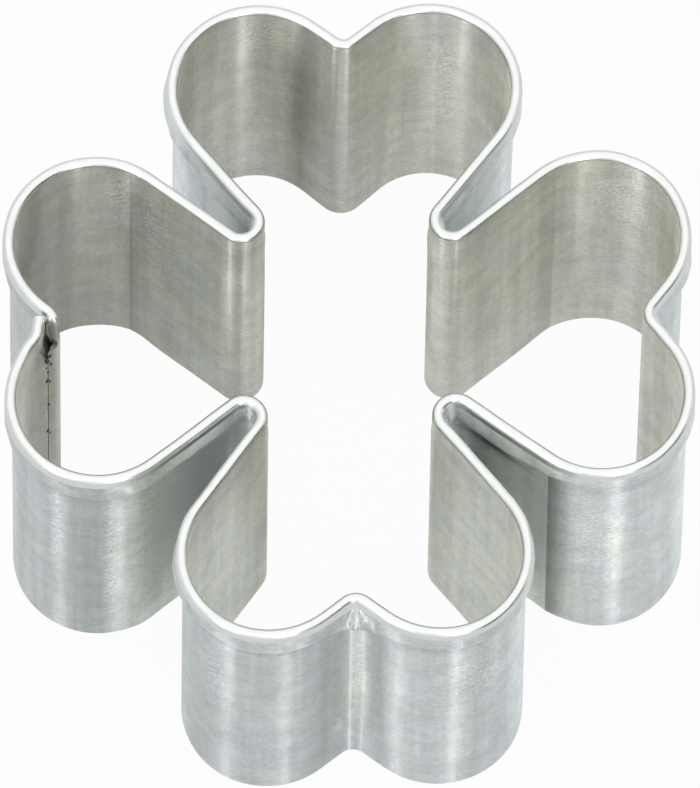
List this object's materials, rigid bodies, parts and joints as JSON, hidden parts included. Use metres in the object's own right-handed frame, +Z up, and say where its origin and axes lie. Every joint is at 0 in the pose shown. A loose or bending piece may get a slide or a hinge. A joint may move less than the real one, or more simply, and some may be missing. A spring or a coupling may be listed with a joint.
{
  "type": "cookie cutter",
  "caption": "Small clover-shaped cookie cutter bent from one tall strip of tinplate, with a folded rim on top, a plain cutting edge below and a welded lap in one notch.",
  "frame": {"origin": "middle of the clover, on the plane of the cutting edge", "axes": "+Z up the walls towards the folded rim; +Y points at one leaf, and the leaf with the lapped seam points at -X"},
  "size_m": [0.0376, 0.0376, 0.022],
  "materials": {
    "tinplate": "bright rolled tinplate",
    "weld_metal": "heat-dulled spot weld"
  },
  "bodies": {
    "root": {"cutter_strip": "tinplate", "seam_spot_welds": "weld_metal"}
  },
  "joints": []
}
